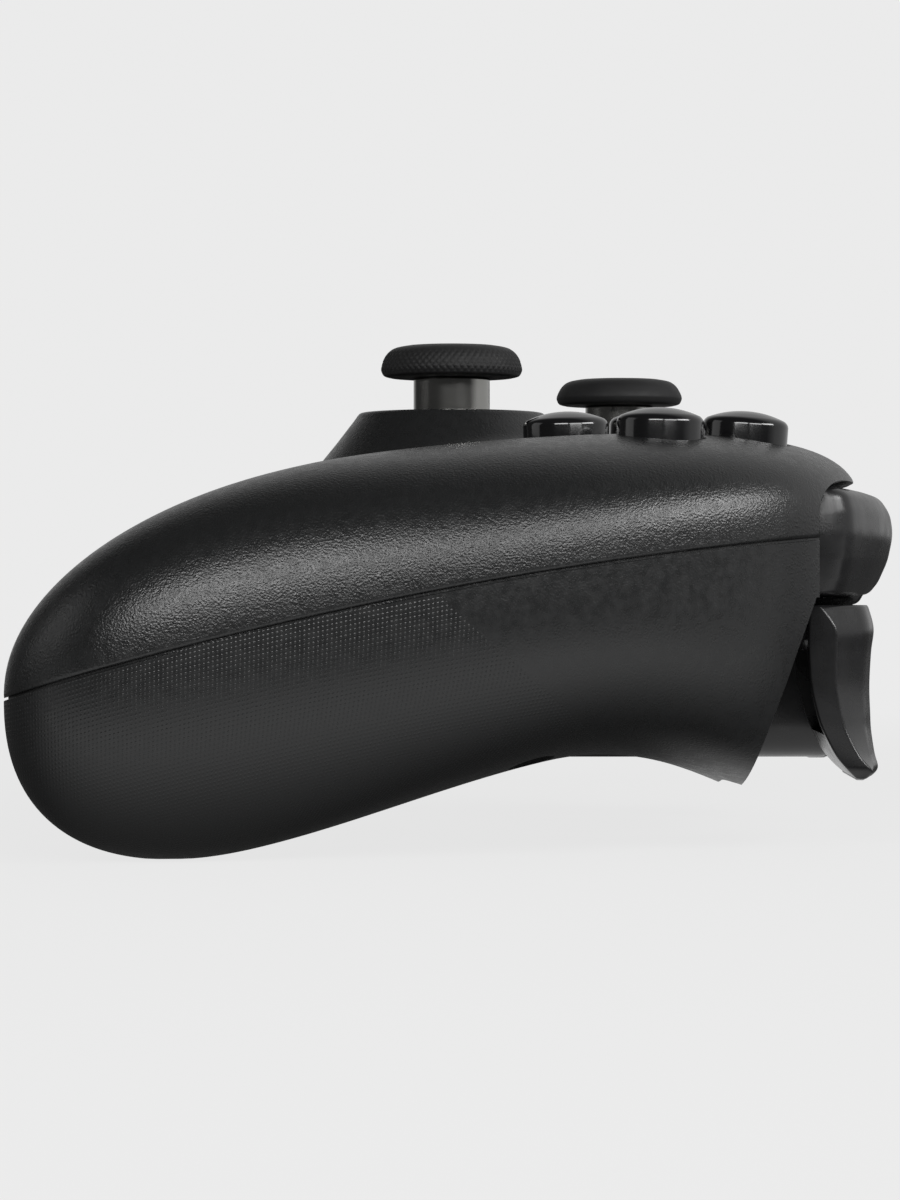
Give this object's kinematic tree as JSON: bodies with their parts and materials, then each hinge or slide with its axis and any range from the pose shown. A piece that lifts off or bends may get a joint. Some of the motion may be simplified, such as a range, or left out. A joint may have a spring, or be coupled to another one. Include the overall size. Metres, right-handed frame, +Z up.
{
  "type": "game controller",
  "caption": "Wireless game controller with two grips, thumb sticks, direction pad, domed face buttons, bumpers and pull triggers.",
  "frame": {"origin": "middle of the controller, level with the lowest point of its grips", "axes": "+X to the player's right, +Y forward to the triggers, +Z up along the stick shafts"},
  "size_m": [0.153, 0.1039, 0.06],
  "materials": {
    "upper_shell": "fine moulded texture",
    "lower_shell": "fine moulded texture, dotted on the grips",
    "satin_black": "satin",
    "button_black": "gloss",
    "cap_rubber": "matt, knurled rim",
    "stick_metal": "polished",
    "steel": "plain",
    "inner_plastic": "plain",
    "silicone": "plain",
    "board": "solder mask",
    "cell": "foil wrap",
    "weight": "sintered"
  },
  "bodies": {
    "case": {"top_shell": "upper_shell", "bottom_shell": "lower_shell", "belly_cover": "satin_black", "bridge_cover": "satin_black", "bumper_pins": "steel", "bumper_switches": "inner_plastic", "trigger_brackets": "inner_plastic", "trigger_axles": "steel", "left_trigger_spring": "steel", "right_trigger_spring": "steel", "face_membrane": "silicone", "dpad_post": "inner_plastic", "dpad_membrane": "silicone", "tact_switches": "inner_plastic", "left_stick_base": "inner_plastic", "right_stick_base": "inner_plastic", "main_board": "board", "board_screws": "steel", "case_screws": "steel", "battery_pack": "cell", "left_rumble_motor": "steel", "right_rumble_motor": "steel", "usb_socket": "steel", "headset_jack": "inner_plastic"},
    "left_bumper_body": {"left_bumper": "satin_black"},
    "right_bumper_body": {"right_bumper": "satin_black"},
    "left_trigger_body": {"left_trigger": "satin_black"},
    "right_trigger_body": {"right_trigger": "satin_black"},
    "face_button_south_body": {"face_button_south": "button_black"},
    "face_button_east_body": {"face_button_east": "button_black"},
    "face_button_west_body": {"face_button_west": "button_black"},
    "face_button_north_body": {"face_button_north": "button_black"},
    "dpad_pivot_body": {"dpad_pivot": "steel"},
    "dpad_body": {"dpad": "button_black"},
    "view_button_body": {"view_button": "button_black"},
    "menu_button_body": {"menu_button": "button_black"},
    "share_button_body": {"share_button": "button_black"},
    "home_button_body": {"home_button": "button_black"},
    "pair_button_body": {"pair_button": "button_black"},
    "left_rumble_weight_body": {"left_rumble_weight": "weight"},
    "right_rumble_weight_body": {"right_rumble_weight": "weight"},
    "left_yoke": {"left_stick_yoke": "steel"},
    "left_rocker": {"left_stick_rocker": "inner_plastic"},
    "left_stick": {"left_stick_cap": "cap_rubber", "left_stick_shaft": "stick_metal", "left_stick_skirt": "satin_black"},
    "right_yoke": {"right_stick_yoke": "steel"},
    "right_rocker": {"right_stick_rocker": "inner_plastic"},
    "right_stick": {"right_stick_cap": "cap_rubber", "right_stick_shaft": "stick_metal", "right_stick_skirt": "satin_black"}
  },
  "joints": [
    {"name": "left_bumper_press", "type": "hinge", "parent": "case", "child": "left_bumper_body", "pos_m": [-0.0167, 0.0422, 0.0358], "axis": [0, 0, 1], "range_deg": [0, 1.5], "stiffness_Nm_per_rad": 0.6, "springref_deg": -1.15},
    {"name": "right_bumper_press", "type": "hinge", "parent": "case", "child": "right_bumper_body", "pos_m": [0.0167, 0.0422, 0.0358], "axis": [0, 0, -1], "range_deg": [0, 1.5], "stiffness_Nm_per_rad": 0.6, "springref_deg": -1.15},
    {"name": "left_trigger_pull", "type": "hinge", "parent": "case", "child": "left_trigger_body", "pos_m": [-0.034, 0.0369, 0.0256], "axis": [-1, 0, 0], "range_deg": [0, 18], "stiffness_Nm_per_rad": 0.012, "springref_deg": -34.38, "deforming": ["left_trigger_spring"]},
    {"name": "right_trigger_pull", "type": "hinge", "parent": "case", "child": "right_trigger_body", "pos_m": [0.034, 0.0369, 0.0256], "axis": [-1, 0, 0], "range_deg": [0, 18], "stiffness_Nm_per_rad": 0.012, "springref_deg": -34.38, "deforming": ["right_trigger_spring"]},
    {"name": "face_south_press", "type": "slide", "parent": "case", "child": "face_button_south_body", "axis": [0, 0.03, -0.9996], "range_m": [0, 0.0013], "stiffness_N_per_m": 400, "springref_m": -0.0012, "deforming": ["face_membrane"]},
    {"name": "face_east_press", "type": "slide", "parent": "case", "child": "face_button_east_body", "axis": [0, -0.0225, -0.9997], "range_m": [0, 0.0013], "stiffness_N_per_m": 400, "springref_m": -0.0012, "deforming": ["face_membrane"]},
    {"name": "face_west_press", "type": "slide", "parent": "case", "child": "face_button_west_body", "axis": [0, -0.0225, -0.9997], "range_m": [0, 0.0013], "stiffness_N_per_m": 400, "springref_m": -0.0012, "deforming": ["face_membrane"]},
    {"name": "face_north_press", "type": "slide", "parent": "case", "child": "face_button_north_body", "axis": [0, -0.0748, -0.9972], "range_m": [0, 0.0013], "stiffness_N_per_m": 400, "springref_m": -0.0012, "deforming": ["face_membrane"]},
    {"name": "dpad_pitch", "type": "hinge", "parent": "case", "child": "dpad_pivot_body", "pos_m": [-0.021, -0.0019, 0.03523], "axis": [1, 0, 0], "range_deg": [-3.5, 3.5], "stiffness_Nm_per_rad": 0.12, "deforming": ["dpad_membrane"]},
    {"name": "dpad_roll", "type": "hinge", "parent": "dpad_pivot_body", "child": "dpad_body", "pos_m": [-0.021, -0.0019, 0.03523], "axis": [0, 1, 0], "range_deg": [-3.5, 3.5], "stiffness_Nm_per_rad": 0.12, "deforming": ["dpad_membrane"]},
    {"name": "view_press", "type": "slide", "parent": "case", "child": "view_button_body", "axis": [0, 0, -1], "range_m": [0, 0.0004], "stiffness_N_per_m": 1500, "springref_m": -0.0006},
    {"name": "menu_press", "type": "slide", "parent": "case", "child": "menu_button_body", "axis": [0, 0, -1], "range_m": [0, 0.0004], "stiffness_N_per_m": 1500, "springref_m": -0.0006},
    {"name": "share_press", "type": "slide", "parent": "case", "child": "share_button_body", "axis": [0, 0, -1], "range_m": [0, 0.0004], "stiffness_N_per_m": 1500, "springref_m": -0.0006},
    {"name": "home_press", "type": "slide", "parent": "case", "child": "home_button_body", "axis": [0, 0, -1], "range_m": [0, 0.0004], "stiffness_N_per_m": 1500, "springref_m": -0.0006},
    {"name": "pair_press", "type": "slide", "parent": "case", "child": "pair_button_body", "axis": [0, -1, 0], "range_m": [0, 0.0004], "stiffness_N_per_m": 1500, "springref_m": -0.0006},
    {"name": "left_stick_pitch", "type": "hinge", "parent": "case", "child": "left_yoke", "pos_m": [-0.042, 0.0212, 0.03753], "axis": [1, 0, 0], "range_deg": [-14, 14], "stiffness_Nm_per_rad": 0.04},
    {"name": "left_stick_roll", "type": "hinge", "parent": "left_yoke", "child": "left_rocker", "pos_m": [-0.042, 0.0212, 0.03753], "axis": [0, 1, 0], "range_deg": [-14, 14], "stiffness_Nm_per_rad": 0.04},
    {"name": "left_stick_click", "type": "slide", "parent": "left_rocker", "child": "left_stick", "axis": [0, 0, -1], "range_m": [0, 0.0004], "stiffness_N_per_m": 2500, "springref_m": -0.0008},
    {"name": "right_stick_pitch", "type": "hinge", "parent": "case", "child": "right_yoke", "pos_m": [0.021, -0.0019, 0.03753], "axis": [1, 0, 0], "range_deg": [-14, 14], "stiffness_Nm_per_rad": 0.04},
    {"name": "right_stick_roll", "type": "hinge", "parent": "right_yoke", "child": "right_rocker", "pos_m": [0.021, -0.0019, 0.03753], "axis": [0, 1, 0], "range_deg": [-14, 14], "stiffness_Nm_per_rad": 0.04},
    {"name": "right_stick_click", "type": "slide", "parent": "right_rocker", "child": "right_stick", "axis": [0, 0, -1], "range_m": [0, 0.0004], "stiffness_N_per_m": 2500, "springref_m": -0.0008},
    {"name": "left_rumble_spin", "type": "hinge", "parent": "case", "child": "left_rumble_weight_body", "pos_m": [-0.065, -0.023, 0.0176], "axis": [1, 0, 0], "continuous": true},
    {"name": "right_rumble_spin", "type": "hinge", "parent": "case", "child": "right_rumble_weight_body", "pos_m": [0.065, -0.023, 0.0176], "axis": [1, 0, 0], "continuous": true}
  ]
}
